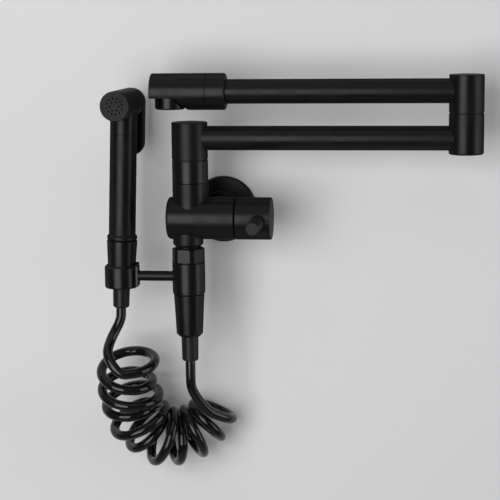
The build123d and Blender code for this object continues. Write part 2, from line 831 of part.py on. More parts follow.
check_top = thread_end + check_valve_length
check_radius = tee_bore / 2 - running
check_valve = turned(outlet, [
    (check_radius - check_valve_lip * 2, thread_end),
    (check_radius, thread_end),
    (check_radius, check_top),
    (check_radius - check_valve_lip, check_top),
    (check_radius - check_valve_lip, thread_end + check_valve_lip),
    (check_radius - check_valve_lip * 2, thread_end + check_valve_lip),
])
keep(check_valve, "check_valve")

# Sprayer axis, and the cup where the axis meets the seat
lean = radians(sprayer_lean)
turn = radians(sprayer_turn)
lean_axis = Vector(sin(lean), 0, cos(lean))
lean_side = Vector(cos(lean), 0, -sin(lean))
head_side = lean_side * cos(turn) - Vector(0, 1, 0) * sin(turn)
sprayer = Plane((sprayer_x, body_y, sprayer_z), x_dir=head_side, z_dir=lean_axis)
seat_middle = (hose_nut_taper + hose_nut_length) / 2
cup_x = sprayer_x - seat_middle * sin(lean)
seat_z = sprayer_z - seat_middle * cos(lean)

rod_axis = Plane((outlet_x, body_y, rod_z), x_dir=(0, 0, 1), z_dir=(-1, 0, 0))
cup_reach = outlet_x - cup_x
cup_wall = (cup_diameter - cup_bore) / 2
with BuildPart() as holder_rod:
    rod(along(rod_axis, tee_radius - rod_grip + slip), rod_diameter / 2,
        cup_reach - cup_diameter / 2 + cup_wall * 0.7 - tee_radius + rod_grip - slip)
keep(holder_rod, "holder_rod")

cup_axis = upright(cup_x, cup_bottom)
cup_radius = cup_diameter / 2
nut_low_radius = hose_nut_low_diameter / 2
nut_tip_radius = hose_nut_tip_diameter / 2
seat_slope = (hose_nut_length - hose_nut_taper) / (nut_low_radius - nut_tip_radius)
seat_mid_radius = (nut_low_radius + nut_tip_radius) / 2
seat_height = seat_z - cup_bottom - nut_seat_gap * sqrt(1 + seat_slope ** 2)
with BuildPart() as holder_cup:
    with BuildSketch(half_section(cup_axis)):
        with BuildLine():
            Polyline(
                (0, 0),
                (cup_radius, 0),
                (cup_radius, cup_height - cup_rim_taper),
                (cup_bore / 2 + cup_rim_land, cup_height),
                (0, cup_height),
                close=True,
            )
        make_face()
    revolve(axis=Axis(cup_axis.origin, cup_axis.z_dir))
    fillet(holder_cup.edges().group_by(Axis.Z)[0], cup_edge)
    lug_inside = cup_bore / 2 + cup_lug_gap
    lug_round = cup_top + cup_lug_height - cup_lug_width / 2
    lug_face = Plane((cup_x + lug_inside, body_y, lug_round), x_dir=(0, 1, 0), z_dir=(1, 0, 0))
    with BuildSketch(lug_face):
        Rectangle(cup_lug_width, lug_round - cup_bottom - cup_edge, align=(Align.CENTER, Align.MAX))
        Circle(cup_lug_width / 2)
    extrude(amount=cup_lug_reach - lug_inside)
    with BuildSketch(half_section(cup_axis)):
        with BuildLine():
            Polyline(
                (0, -1),
                (cup_hole / 2, -1),
                (cup_hole / 2, seat_height + (cup_hole / 2 - seat_mid_radius) * seat_slope),
                (cup_bore / 2, seat_height + (cup_bore / 2 - seat_mid_radius) * seat_slope),
                (cup_bore / 2, cup_height + 1),
                (0, cup_height + 1),
                close=True,
            )
        make_face()
    revolve(axis=Axis(cup_axis.origin, cup_axis.z_dir), mode=Mode.SUBTRACT)
    with BuildSketch(cup_axis):
        with Locations((0, cup_radius)):
            Rectangle(cup_slot, cup_diameter)
    extrude(amount=cup_height, mode=Mode.SUBTRACT)
    bore(along(rod_axis, cup_reach - cup_lug_reach - cup_wall), rod_diameter / 2,
         cup_lug_reach - cup_bore / 2 + cup_wall - cup_wall * 0.3)
keep(holder_cup, "holder_cup")


# Hose ends: the same cone nut, washer, barb and sleeve on the valve and on the sprayer
def hose_end(plane, name):
    """Hose end hanging from a plane that lies on top of its cone nut."""
    thread_radius = hose_thread / 2 + running
    chamber = hose_nut_chamber / 2
    washer_top = -hose_thread_length
    barb_top = washer_top - washer_thickness - slip
    sleeve_top = barb_top - barb_flange
    sleeve_end = -hose_nut_length - sleeve_length
    hose_radius = hose_diameter / 2
    nut = turned(plane, [
        (thread_radius, 0),
        (hose_nut_top_diameter / 2, 0),
        (nut_low_radius, -hose_nut_taper),
        (nut_tip_radius, -hose_nut_length),
        (hose_nut_hole / 2, -hose_nut_length),
        (hose_nut_hole / 2, -hose_nut_floor),
        (chamber, -hose_nut_floor),
        (chamber, washer_top - 1),
        (thread_radius, washer_top - 1),
    ])
    keep(nut, f"{name}_hose_nut")
    washer = ring(plane, barb_bore, chamber - slip, washer_top - washer_thickness, washer_top)
    keep(washer, f"{name}_hose_washer")
    barb = turned(plane, [
        (barb_bore / 2, barb_top),
        (barb_diameter / 2, barb_top),
        (barb_diameter / 2, sleeve_top),
        (hose_radius, sleeve_top),
        (hose_radius, sleeve_top - barb_length),
        (barb_bore / 2, sleeve_top - barb_length),
    ])
    keep(barb, f"{name}_hose_barb")
    sleeve = turned(plane, [
        (hose_radius, sleeve_top),
        (barb_diameter / 2, sleeve_top),
        (barb_diameter / 2, slip - hose_nut_floor),
        (sleeve_diameter / 2, slip - hose_nut_floor),
        (sleeve_diameter / 2, -hose_nut_length),
        (sleeve_low_diameter / 2, sleeve_end + sleeve_edge),
        (sleeve_low_diameter / 2 - sleeve_edge, sleeve_end),
        (hose_radius, sleeve_end),
    ])
    keep(sleeve, f"{name}_hose_sleeve")


valve_end = upright(outlet_x, valve_nut_top)
hose_end(valve_end, "valve")
hose_end(sprayer, "sprayer")

# Sprayer handle
handle_radius = handle_diameter / 2
bead_radius = bead_diameter / 2
spigot_end = handle_top + handle_spigot
sprayer_handle = turned(sprayer, [
    (handle_bore / 2, -hose_thread_length),
    (hose_thread / 2, -hose_thread_length),
    (hose_thread / 2, slip),
    (bead_radius - bead_edge, slip),
    (bead_radius, bead_edge + slip),
    (bead_radius, bead_top - bead_edge),
    (handle_radius, bead_top),
    (handle_radius, handle_top - handle_edge),
    (handle_radius - handle_edge, handle_top),
    (handle_spigot_diameter / 2, handle_top),
    (handle_spigot_diameter / 2, spigot_end),
    (handle_bore / 2, spigot_end),
])
keep(sprayer_handle, "sprayer_handle")

# Sprayer head: the barrel's own axis runs from front to back
barrel = Plane(sprayer.from_local_coords((0, 0, barrel_height)), x_dir=sprayer.x_dir, z_dir=sprayer.y_dir)
barrel_radius = barrel_diameter / 2
rear_bore_front = barrel_seat_thickness - barrel_seat_front
gland_front = barrel_back - gland_thickness
trigger_front = barrel_back + trigger_gap
pivot_back = trigger_front + pivot_depth
neck_length = barrel_height - handle_top
with BuildPart() as sprayer_head:
    with BuildSketch(along(barrel, -barrel_front)):
        Circle(barrel_radius)
    extrude(amount=barrel_front + barrel_back)
    fillet(sprayer_head.edges().filter_by(GeomType.CIRCLE), barrel_edge)
    with BuildSketch(along(sprayer, handle_top)):
        Circle(handle_radius)
    extrude(amount=neck_length)
    with BuildSketch(Plane(barrel.from_local_coords((-lug_width / 2, pivot_drop, pivot_back)),
                           x_dir=barrel.z_dir, z_dir=barrel.x_dir)):
        Circle(lug_radius)
        Rectangle(pivot_depth + trigger_gap + lug_root, lug_radius * 2, align=(Align.MAX, Align.CENTER))
        Circle(pivot_diameter / 2, mode=Mode.SUBTRACT)
    extrude(amount=lug_width)
    bore(along(sprayer, handle_top), handle_spigot_diameter / 2, handle_spigot + slip)
    bore(along(sprayer, handle_top), handle_bore / 2, neck_length)
    bore(along(barrel, -barrel_front), face_diameter / 2, face_thickness + face_inset)
    bore(along(barrel, -barrel_front), barrel_front_bore / 2, barrel_front - barrel_seat_front)
    bore(along(barrel, -barrel_front), barrel_seat_hole / 2, barrel_front)
    bore(along(barrel, rear_bore_front), barrel_rear_bore / 2, barrel_back - rear_bore_front)
keep(sprayer_head, "sprayer_head")

with BuildPart() as spray_face:
    with BuildSketch(along(barrel, face_inset - barrel_front)):
        Circle(face_diameter / 2)
        with PolarLocations(face_outer_ring, 12, start_angle=face_outer_turn):
            Circle(face_hole / 2, mode=Mode.SUBTRACT)
        with PolarLocations(face_inner_ring, 6, start_angle=face_inner_turn):
            Circle(face_hole / 2, mode=Mode.SUBTRACT)
    extrude(amount=face_thickness)
keep(spray_face, "spray_face")

plunger_radius = plunger_diameter / 2
sprayer_gland = ring(barrel, plunger_radius + running, barrel_rear_bore / 2, gland_front, barrel_back)
keep(sprayer_gland, "sprayer_gland")

# Trigger: a long round-ended paddle behind the barrel, hinged near the barrel's lower edge
pivot_radius = pivot_diameter / 2
paddle_radius = trigger_width / 2
paddle_straight = trigger_length - trigger_width
trigger_plane = along(barrel, trigger_front)
with BuildPart() as trigger:
    with BuildSketch(trigger_plane):
        with Locations((0, paddle_straight / 2)):
            SlotCenterToCenter(paddle_straight, trigger_width, rotation=90)
    extrude(amount=trigger_thickness)
    chamfer(trigger.edges(), trigger_edge)
    bore(trigger_plane, plunger_hole / 2, trigger_thickness)
    bore(along(trigger_plane, button_floor), button_pocket / 2, trigger_thickness)
    with BuildSketch(trigger_plane):
        with Locations((0, pivot_drop)):
            Rectangle(lug_width + 2 * lug_space, 2 * (lug_radius + lug_space + slip))
    extrude(amount=pivot_depth + lug_radius + lug_space, mode=Mode.SUBTRACT)
    bore(Plane(trigger_plane.from_local_coords((-trigger_width, pivot_drop, pivot_depth)),
               x_dir=barrel.z_dir, z_dir=barrel.x_dir), pivot_radius + running, 2 * trigger_width)
keep(trigger, "trigger")

pin_half = paddle_radius - 1.0
with BuildPart() as trigger_pin:
    rod(Plane(trigger_plane.from_local_coords((-pin_half, pivot_drop, pivot_depth)),
              x_dir=barrel.z_dir, z_dir=barrel.x_dir), pivot_radius, 2 * pin_half)
keep(trigger_pin, "trigger_pin")

# Plunger, its seal and its spring
seal_front = rear_bore_front + touch
disc_front = seal_front + disc_seal_thickness
disc_back = disc_front + disc_valve_thickness
button_front = trigger_front + button_floor + slip
plunger = turned(barrel, [
    (0, disc_front),
    (disc_valve_diameter / 2, disc_front),
    (disc_valve_diameter / 2, disc_back),
    (plunger_radius, disc_back),
    (plunger_radius, button_front),
    (button_diameter / 2, button_front),
    (button_diameter / 2, button_front + button_thickness),
    (0, button_front + button_thickness),
])
keep(plunger, "plunger")

plunger_seal = turned(barrel, [
    (0, seal_front),
    (disc_valve_diameter / 2, seal_front),
    (disc_valve_diameter / 2, disc_front),
    (0, disc_front),
])
keep(plunger_seal, "plunger_seal")


def biarc(start, start_way, end, end_way):
    """Corner between two tangent arcs that join two points, each with its own direction."""
    chord = end - start
    ways = start_way + end_way
    spread = 2 * (1 - start_way.dot(end_way))
    along_chord = chord.dot(ways)
    if spread < 1e-6:
        reach = chord.dot(chord) / (2 * along_chord)
    else:
        reach = (sqrt(along_chord ** 2 + spread * chord.dot(chord)) - along_chord) / spread
    first = start + start_way * reach
    second = end - end_way * reach
    return (first + second) * 0.5, (second - first).normalized()


spring_front = disc_back + spring_wire / 2 + touch
spring_back = gland_front - spring_wire / 2 - touch
spring_rise = (spring_back - spring_front) / (spring_turns * 2 * pi)
with BuildPart() as plunger_spring:
    with BuildLine() as spring_path:
        stations = []
        for step in range(spring_turns * 4 + 1):
            angle = step * pi / 2
            mean = (spring_diameter - spring_wire) / 2
            place = barrel.from_local_coords(
                (mean * cos(angle), mean * sin(angle), spring_front + spring_rise * angle))
            way = (barrel.x_dir * (-mean * sin(angle)) + barrel.y_dir * (mean * cos(angle))
                   + barrel.z_dir * spring_rise).normalized()
            stations.append((place, way))
        for (start, start_way), (end, end_way) in zip(stations, stations[1:]):
            corner, corner_way = biarc(start, start_way, end, end_way)
            TangentArc(start, corner, tangent=start_way)
            TangentArc(corner, end, tangent=corner_way)
    with BuildSketch(Plane(stations[0][0], z_dir=stations[0][1])):
        Circle(spring_wire / 2)
    sweep(path=spring_path.line)
keep(plunger_spring, "plunger_spring")

# Coiled hose
hose_radius = hose_diameter / 2
coil_span = 2 * pi * coil_turns


def coil_axis(part):
    """Point of the U-shaped axis at a share of its way."""
    points = [Vector(*guide) for guide in coil_guides]
    while len(points) > 1:
        points = [first + (second - first) * part for first, second in zip(points, points[1:])]
    return points[0]


def coil_point(angle):
    """Point of the winding at a total angle: 0 is the outer side, a quarter turn later the front."""
    part = angle / coil_span
    step = 1e-4
    advance = (coil_axis(part + step) - coil_axis(part - step)).normalized()
    outward = Vector(0, 1, 0).cross(advance).normalized()
    forward = outward.cross(advance)
    outward = outward * cos(radians(coil_lag)) - advance * sin(radians(coil_lag))
    radius = coil_first_radius + (coil_last_radius - coil_first_radius) * part
    radius += coil_alternate * sin(pi * min(part, 1)) * sin(angle / 2)
    return coil_axis(part) + outward * (radius * cos(angle)) + forward * (radius * sin(angle))


def coil_way(angle):
    """Direction of the winding at a total angle."""
    return (coil_point(angle + 1e-3) - coil_point(angle - 1e-3)).normalized()


sprayer_lead_end = along(sprayer, -hose_exit - sprayer_lead_free)
valve_lead_end = along(valve_end, -hose_exit - valve_lead_free)
sprayer_lead_length = hose_exit + sprayer_lead_free - hose_start
valve_lead_length = hose_exit + valve_lead_free - hose_start

first_angle = radians(coil_join)
last_angle = coil_span + radians(coil_leave)
quarter_turns = 4 * coil_turns
route = [(along(sprayer_lead_end, -hose_straight).origin, -sprayer.z_dir)]
route.append((Vector(*hose_bow), Vector(*hose_bow_way).normalized()))
for quarter in range(quarter_turns + 1):
    angle = first_angle + (last_angle - first_angle) * quarter / quarter_turns
    route.append((coil_point(angle), coil_way(angle)))
route.append((along(valve_lead_end, -hose_straight).origin, valve_end.z_dir))

least_bend = 1e9
hose_samples = []
with BuildPart() as hose_coil:
    with BuildLine() as coil_path:
        Line(sprayer_lead_end.origin, route[0][0])
        for (start, start_way), (end, end_way) in zip(route, route[1:]):
            corner, corner_way = biarc(start, start_way, end, end_way)
            for arc in (TangentArc(start, corner, tangent=start_way),
                        TangentArc(corner, end, tangent=corner_way)):
                least_bend = min(least_bend, arc.radius)
                hose_samples += [arc @ (share / 6) for share in range(6)]
        Line(route[-1][0], valve_lead_end.origin)
    with BuildSketch(Plane(sprayer_lead_end.origin, z_dir=-sprayer.z_dir)):
        Circle(hose_radius)
    sweep(path=coil_path.line)
keep(hose_coil, "hose_coil")

with BuildPart() as hose_sprayer_lead:
    with BuildSketch(sprayer_lead_end):
        Circle(hose_radius)
    extrude(amount=sprayer_lead_length)
keep(hose_sprayer_lead, "hose_sprayer_lead")

with BuildPart() as hose_valve_lead:
    with BuildSketch(valve_lead_end):
        Circle(hose_radius)
    extrude(amount=valve_lead_length)
keep(hose_valve_lead, "hose_valve_lead")

coil_length = sum(edge.length for edge in coil_path.edges())
window = int(2.5 * hose_diameter / (coil_length / len(hose_samples)))
least_gap = min(
    (hose_samples[first] - hose_samples[second]).length
    for first in range(len(hose_samples))
    for second in range(first + window, len(hose_samples))
) - hose_diameter
print("hose bend radius, least:", round(least_bend, 2))
print("hose gap to itself, least:", round(least_gap, 2))
print("coil volume / (section x length):",
      round(hose_coil.part.volume / (pi * hose_radius ** 2 * coil_length), 5))
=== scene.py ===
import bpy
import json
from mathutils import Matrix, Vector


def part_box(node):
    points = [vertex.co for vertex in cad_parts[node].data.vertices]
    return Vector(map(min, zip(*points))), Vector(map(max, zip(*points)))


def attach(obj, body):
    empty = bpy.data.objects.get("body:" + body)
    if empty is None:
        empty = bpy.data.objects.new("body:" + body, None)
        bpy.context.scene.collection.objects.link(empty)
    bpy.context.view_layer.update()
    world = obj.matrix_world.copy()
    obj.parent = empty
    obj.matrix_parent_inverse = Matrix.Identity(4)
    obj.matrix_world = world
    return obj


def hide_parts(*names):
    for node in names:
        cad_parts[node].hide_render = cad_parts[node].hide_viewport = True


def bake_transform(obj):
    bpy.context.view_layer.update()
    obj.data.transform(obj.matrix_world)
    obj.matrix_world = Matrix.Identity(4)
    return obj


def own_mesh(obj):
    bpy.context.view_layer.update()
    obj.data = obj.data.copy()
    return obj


bl_info = {
    "name": "Folding wall faucet with hand sprayer",
    "version": (1, 0, 0),
    "blender": (4, 5, 0),
    "location": "View3D > Sidebar > Faucet",
    "description": "Finishes, hose, inlet thread and studio for a black wall faucet with a hand sprayer",
    "category": "Object",
}

import json
from math import cos, pi, radians, sin

import bmesh
import bpy
from bpy.props import FloatProperty, FloatVectorProperty, IntProperty, PointerProperty
from mathutils import Matrix, Vector

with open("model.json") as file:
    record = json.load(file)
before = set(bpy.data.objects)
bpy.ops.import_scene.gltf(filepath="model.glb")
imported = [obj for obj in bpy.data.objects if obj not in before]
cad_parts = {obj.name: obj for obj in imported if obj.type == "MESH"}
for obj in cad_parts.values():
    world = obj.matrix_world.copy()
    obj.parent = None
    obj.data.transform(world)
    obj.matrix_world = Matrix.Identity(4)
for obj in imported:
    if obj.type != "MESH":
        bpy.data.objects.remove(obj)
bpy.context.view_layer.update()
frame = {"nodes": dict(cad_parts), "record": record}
nodes_of_slot = {}
for entry in frame["record"]["subparts"]:
    nodes_of_slot.setdefault(entry["material_slot"], []).append(entry["node"])


def colour(name, description, default):
    """A colour setting, in linear light."""
    return FloatVectorProperty(
        name=name, description=description, default=default, subtype="COLOR", min=0, max=1
    )


def length(name, description, default):
    """A length setting, in metres."""
    return FloatProperty(
        name=name, description=description, default=default, unit="LENGTH", precision=4
    )


def power(name, description, default):
    """A light's power setting, in watts."""
    return FloatProperty(name=name, description=description, default=default, unit="POWER")


def angle(name, description, default):
    """An angle setting, given in degrees."""
    return FloatProperty(
        name=name, description=description, default=radians(default), subtype="ANGLE"
    )


def place(name, description, default):
    """A point of the faucet's frame, in metres from the middle of the wall flange."""
    return FloatVectorProperty(
        name=name, description=description, default=default, subtype="TRANSLATION", precision=4
    )


class FaucetFinishes(bpy.types.PropertyGroup):
    coat: colour("Coat", "Satin black coat of the metal pieces", (0.0022, 0.0021, 0.0026))
    coat_rub: colour("Rubbed coat", "Coat that hands and cloths have polished", (0.0033, 0.0031, 0.0038))
    coat_roughness: FloatProperty(
        name="Coat roughness",
        description="Mean roughness of the coat",
        default=0.36,
        min=0,
        max=1,
        subtype="FACTOR",
    )
    moulding: colour("Moulding", "Black plastic of the lever and hose sleeves", (0.0070, 0.0070, 0.0074))
    nozzle_plate: colour("Nozzle plate", "Plastic of the spray face and aerator", (0.010, 0.010, 0.011))
    hose: colour("Hose", "Glossy black hose", (0.0030, 0.0030, 0.0032))
    pale_moulding: colour("Pale moulding", "White plastic of the inner pieces", (0.72, 0.72, 0.69))
    rubber: colour("Rubber", "Seals and washers", (0.018, 0.018, 0.018))
    brass: colour("Brass", "Turned brass", (0.72, 0.53, 0.27))
    # Painted shade: near-black tone for the brass cartridge nut, so the seam between body and knob stays
    # dark
    blackened: colour("Nut with painted gap shade", "Cartridge nut, in the line beside the knob", (0.012, 0.011, 0.010))
    steel: colour("Steel", "Screws, pin, spring and filter", (0.56, 0.56, 0.57))
    ceramic: colour("Ceramic", "Valve discs", (0.84, 0.84, 0.80))


class FaucetHose(bpy.types.PropertyGroup):
    diameter: length("Diameter", "Outside diameter of the hose", 0.0084)
    valve_exit: place("Valve exit", "Where the hose leaves the valve's sleeve", (-0.0219, -0.058, -0.1207))
    sprayer_exit: place(
        "Sprayer exit", "Where the hose leaves the sprayer's sleeve", (-0.07998, -0.058, -0.07586)
    )
    sprayer_way: FloatVectorProperty(
        name="Sprayer direction",
        description="Direction up the handle",
        default=(0.038388, 0, 0.999263),
        subtype="DIRECTION",
    )
    turns: IntProperty(name="Turns", description="Turns of the coil", default=10, min=1)
    points: IntProperty(name="Points per turn", description="Route points for each turn", default=24, min=12)
    coil_start: place("Coil start", "Start of the axis, under the sprayer", (-0.0775, -0.0627, -0.1140))
    left_drop: place("Left drop", "Draws the axis down from its start", (-0.0687, -0.0447, -0.1559))
    left_pull: place("Left pull", "Draws the axis out to the left", (-0.1006, -0.0417, -0.1631))
    bottom_pull: place("Bottom pull", "Draws the axis down to its lowest part", (-0.0513, -0.0420, -0.2319))
    right_rise: place("Right rise", "Draws the axis up to its end", (-0.0188, -0.0245, -0.1948))
    coil_end: place("Coil end", "End of the axis, under the valve", (-0.0078, -0.0240, -0.1718))
    first_radius: length("First radius", "Radius of the turns by the sprayer", 0.0232)
    last_radius: length("Last radius", "Radius of the turns by the valve", 0.0182)
    alternate: length("Unevenness", "How much neighbouring turns differ in radius", 0.0048)
    lag: angle("Lean", "How far each turn leans from square to the axis", 2)
    join: angle("Join", "Angle of the first turn where the sprayer's lead runs in", 108)
    leave: angle("Leave", "Angle past the last turn where the valve's lead runs out", 60)


class FaucetInlet(bpy.types.PropertyGroup):
    pitch: length("Pitch", "Pitch of the pipe thread", 0.001814)
    depth: length("Depth", "Depth of the pipe thread", 0.00116)
    bore: length("Bore", "Diameter of the waterway", 0.014)
    undercut: length("Undercut", "Width of the plain neck between the two threads", 0.0022)
    undercut_front: length("Undercut place", "Where the neck starts, from the wall", 0.0008)


class FaucetStage(bpy.types.PropertyGroup):
    wall: colour("Wall", "Pale wall behind the faucet", (0.66, 0.66, 0.668))
    floor: colour("Floor", "Pale floor", (0.62, 0.62, 0.62))
    surround: FloatProperty(name="Surround", description="How bright the room looks", default=0.17, min=0)
    fill: FloatProperty(name="Fill", description="How much light the room gives", default=0.10, min=0)
    key_power: power("Key", "Power of the large soft light", 18.6)
    key_place: place("Key place", "Place of the large soft light", (-0.435, -1.37, 0.053))
    top_power: power("Top", "Power of the light overhead", 3.0)
    top_place: place("Top place", "Place of the light overhead", (-0.15, -0.55, 1.0))
    side_power: power("Side", "Power of the light at the right", 8.1)
    side_place: place("Side place", "Place of the light at the right", (1.435, -0.42, 0.10))
    target: place("Target", "Point that the lights face", (0.02, -0.05, -0.02))
    half_width: length("Half width", "Half the width of the wall and the floor", 2.5)
    wall_top: length("Wall top", "Height of the wall's upper edge", 2.0)
    wall_gap: length("Wall gap", "How far the wall lies behind the flange", 0.0004)
    floor_level: length("Floor level", "Height of the floor", -1.3)
    floor_front: length("Floor front", "Where the floor ends, in front of the wall", -3.0)
    camera: place("Camera", "Place of the camera", (0.18994, -1.30701, 0.18322))
    yaw: angle("Yaw", "How far round to the right the camera stands", 7.313)
    pitch: angle("Pitch", "How far down the camera looks", 9.452)
    roll: angle("Roll", "How far the camera leans", -0.655)
    lens: FloatProperty(
        name="Lens", description="Focal length, on a 36 mm sensor", default=111.22, unit="CAMERA"
    )


# Finishes

def node_group(name, inputs, outputs):
    """A new shader node group with its sockets, as (tree, input node, output node)."""
    tree = bpy.data.node_groups.new(name, "ShaderNodeTree")
    for label, kind, value in inputs:
        socket = tree.interface.new_socket(label, in_out="INPUT", socket_type=kind)
        socket.default_value = value
    for label, kind in outputs:
        tree.interface.new_socket(label, in_out="OUTPUT", socket_type=kind)
    return tree, tree.nodes.new("NodeGroupInput"), tree.nodes.new("NodeGroupOutput")


def feed(tree, socket, value):
    """Sets a socket to a number, or links another socket to it."""
    if isinstance(value, (int, float)):
        socket.default_value = value
    else:
        tree.links.new(value, socket)


def noise(tree, vector, scale, detail, roughness=0.5):
    """A noise node over a vector; scale may be a number or a socket."""
    node = tree.nodes.new("ShaderNodeTexNoise")
    node.inputs["Detail"].default_value = detail
    node.inputs["Roughness"].default_value = roughness
    tree.links.new(vector, node.inputs["Vector"])
    feed(tree, node.inputs["Scale"], scale)
    return node.outputs["Fac"]


def math(tree, operation, first, second):
    """A math node; each side may be a number or a socket."""
    node = tree.nodes.new("ShaderNodeMath")
    node.operation = operation
    feed(tree, node.inputs[0], first)
    feed(tree, node.inputs[1], second)
    return node.outputs["Value"]


def spread(tree, value, low, high, to_low=0.0, to_high=1.0):
    """The value stretched from one range to another and held inside it."""
    node = tree.nodes.new("ShaderNodeMapRange")
    node.interpolation_type = "SMOOTHSTEP"
    tree.links.new(value, node.inputs["Value"])
    for label, bound in (("From Min", low), ("From Max", high), ("To Min", to_low), ("To Max", to_high)):
        feed(tree, node.inputs[label], bound)
    return node.outputs["Result"]


def fine_grain():
    """Group: the fine pebbled surface of a sprayed coat or a moulding."""
    tree, given, result = node_group(
        "fine_grain",
        [("Grain per metre", "NodeSocketFloat", 900.0)],
        [("Height", "NodeSocketFloat")],
    )
    where = tree.nodes.new("ShaderNodeTexCoord").outputs["Object"]
    pebble = noise(tree, where, given.outputs["Grain per metre"], detail=3.0, roughness=0.55)
    wave = noise(tree, where, scale=140.0, detail=2.0)
    both = math(tree, "ADD", math(tree, "MULTIPLY", pebble, 0.7), math(tree, "MULTIPLY", wave, 0.3))
    tree.links.new(both, result.inputs["Height"])
    return tree


def wiped_marks():
    """Group: broad, faint streaks that a cloth and fingers leave."""
    tree, given, result = node_group(
        "wiped_marks",
        [
            ("Marks per metre", "NodeSocketFloat", 45.0),
            ("Low", "NodeSocketFloat", 0.0),
            ("High", "NodeSocketFloat", 1.0),
        ],
        [("Mask", "NodeSocketFloat"), ("Value", "NodeSocketFloat")],
    )
    where = tree.nodes.new("ShaderNodeTexCoord").outputs["Object"]
    stretch = tree.nodes.new("ShaderNodeMapping")
    stretch.inputs["Scale"].default_value = (1.0, 1.0, 0.55)
    stretch.inputs["Rotation"].default_value = (0.4, 0.7, 0.3)
    tree.links.new(where, stretch.inputs["Vector"])
    broad = noise(
        tree, stretch.outputs["Vector"], given.outputs["Marks per metre"], detail=4.0, roughness=0.6
    )
    mask = spread(tree, broad, low=0.38, high=0.66)
    value = spread(tree, mask, 0.0, 1.0, to_low=given.outputs["Low"], to_high=given.outputs["High"])
    tree.links.new(mask, result.inputs["Mask"])
    tree.links.new(value, result.inputs["Value"])
    return tree


def turned_lines():
    """Group: the fine rings that a lathe tool leaves round an axis."""
    tree, given, result = node_group(
        "turned_lines",
        [("Axis", "NodeSocketVector", (0.0, 0.0, 1.0)), ("Lines per metre", "NodeSocketFloat", 2500.0)],
        [("Height", "NodeSocketFloat"), ("Tone", "NodeSocketFloat")],
    )
    where = tree.nodes.new("ShaderNodeTexCoord").outputs["Object"]
    dot = tree.nodes.new("ShaderNodeVectorMath")
    dot.operation = "DOT_PRODUCT"
    tree.links.new(where, dot.inputs[0])
    tree.links.new(given.outputs["Axis"], dot.inputs[1])
    along = math(tree, "MULTIPLY", dot.outputs["Value"], given.outputs["Lines per metre"])
    lines = tree.nodes.new("ShaderNodeTexNoise")
    lines.noise_dimensions = "1D"
    lines.inputs["Scale"].default_value = 1.0
    lines.inputs["Detail"].default_value = 3.0
    tree.links.new(along, lines.inputs["W"])
    tree.links.new(lines.outputs["Fac"], result.inputs["Height"])
    patch = noise(tree, where, scale=60.0, detail=3.0)
    tone = math(tree, "MULTIPLY", math(tree, "ADD", lines.outputs["Fac"], patch), 0.5)
    tree.links.new(spread(tree, tone, low=0.3, high=0.7), result.inputs["Tone"])
    return tree


def group_node(material, maker, **values):
    """The group that the maker builds, built once, placed in a material with its own values."""
    tree = bpy.data.node_groups.get(maker.__name__) or maker()
    node = material.node_tree.nodes.new("ShaderNodeGroup")
    node.node_tree = tree
    for label, value in values.items():
        node.inputs[label.replace("_", " ")].default_value = value
    return node


def new_material(name, metallic, specular):
    """A material with its shader, as (material, shader)."""
    material = bpy.data.materials.new(name)
    material.use_nodes = True
    shader = material.node_tree.nodes["Principled BSDF"]
    shader.inputs["Metallic"].default_value = metallic
    shader.inputs["Specular IOR Level"].default_value = specular
    return material, shader


def two_tone(material, shader, mask, dark, light):
    """Base colour that goes from one tone to another with a mask."""
    mix = material.node_tree.nodes.new("ShaderNodeMix")
    mix.data_type = "RGBA"
    mix.inputs["A"].default_value = (*dark, 1.0)
    mix.inputs["B"].default_value = (*light, 1.0)
    material.node_tree.links.new(mask, mix.inputs["Factor"])
    material.node_tree.links.new(mix.outputs["Result"], shader.inputs["Base Color"])


def bumped(material, shader, height, distance):
    """Surface relief from a height between 0 and 1, its full depth in metres."""
    bump = material.node_tree.nodes.new("ShaderNodeBump")
    bump.inputs["Strength"].default_value = 1.0
    bump.inputs["Distance"].default_value = distance
    material.node_tree.links.new(height, bump.inputs["Height"])
    material.node_tree.links.new(bump.outputs["Normal"], shader.inputs["Normal"])


def scaled(colour_value, factor):
    """A colour made lighter or darker."""
    return [factor * channel for channel in colour_value]


def coated_or_moulded(name, tones, roughness, grain, depth, marks, specular=0.5, glancing=0.0):
    """A sprayed coat or a moulding: pebbled grain, two near tones and wiped marks in the gloss.

    The gloss falls off by the glancing value where the surface turns away, as it does on a matt coat,
    and comes back where it is seen nearly edge on, as any coat shines there.
    """
    material, shader = new_material(name, metallic=0.0, specular=specular)
    tree = material.node_tree
    surface = group_node(material, fine_grain, Grain_per_metre=grain)
    wiped = group_node(material, wiped_marks, Marks_per_metre=marks, Low=roughness[0], High=roughness[1])
    two_tone(material, shader, wiped.outputs["Mask"], *tones)
    gloss = wiped.outputs["Value"]
    if glancing:
        facing = tree.nodes.new("ShaderNodeLayerWeight").outputs["Facing"]
        turned_away = spread(tree, facing, low=0.25, high=0.72, to_high=glancing)
        not_edge_on = spread(tree, facing, low=0.77, high=0.86, to_low=1.0, to_high=0.42)
        gloss = math(tree, "ADD", gloss, math(tree, "MULTIPLY", turned_away, not_edge_on))
    tree.links.new(gloss, shader.inputs["Roughness"])
    bumped(material, shader, surface.outputs["Height"], depth)
    return material


def machined(name, colour_value, axis, roughness):
    """Bare turned metal: tool rings round its axis, and the tone they give."""
    material, shader = new_material(name, metallic=1.0, specular=0.5)
    rings = group_node(material, turned_lines, Axis=axis, Lines_per_metre=2500.0)
    wiped = group_node(material, wiped_marks, Marks_per_metre=70.0, Low=roughness[0], High=roughness[1])
    two_tone(material, shader, rings.outputs["Tone"], scaled(colour_value, 0.82), colour_value)
    material.node_tree.links.new(wiped.outputs["Value"], shader.inputs["Roughness"])
    bumped(material, shader, rings.outputs["Height"], distance=0.00002)
    return material


def dress(material, names):
    """Gives the named CAD nodes one material."""
    for name in names:
        mesh = frame["nodes"][name].data
        mesh.materials.clear()
        mesh.materials.append(material)


